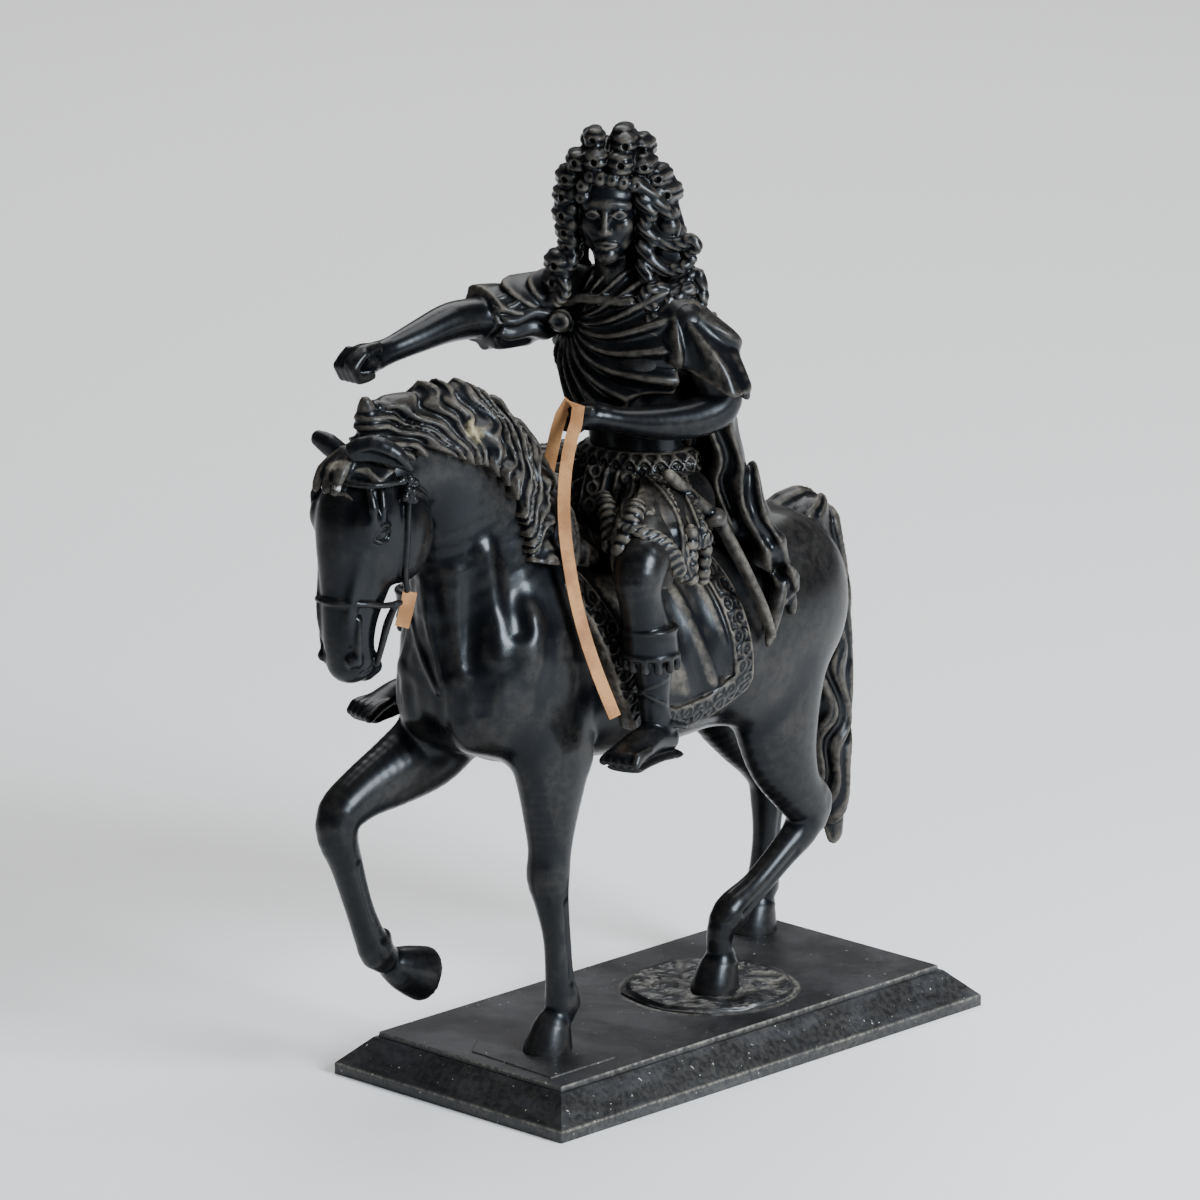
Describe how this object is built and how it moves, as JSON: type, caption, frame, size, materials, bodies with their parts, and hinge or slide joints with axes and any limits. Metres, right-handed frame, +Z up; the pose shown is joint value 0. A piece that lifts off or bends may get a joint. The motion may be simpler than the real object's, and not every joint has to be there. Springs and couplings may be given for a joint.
{
  "type": "equestrian statuette",
  "caption": "Black cast statuette of a rider in a long curled wig and mantle on a pacing horse, on a sloped oblong plinth, with one loose leather rein.",
  "frame": {"origin": "centre of the plinth's flat underside", "axes": "+Z up, the horse faces -Y, +X towards the horse's left side"},
  "size_m": [0.136, 0.3078, 0.3847],
  "materials": {
    "black_cast": "cast composition in a satin black coat, dust in the hollows",
    "black_plinth": "cast composition in a duller black coat, rubbed and dusty",
    "leather": "plain light tan strap leather"
  },
  "bodies": {
    "root": {"horse_and_rider": "black_cast", "plinth": "black_plinth", "rein_strap": "leather", "rein_stub": "leather"}
  },
  "joints": []
}
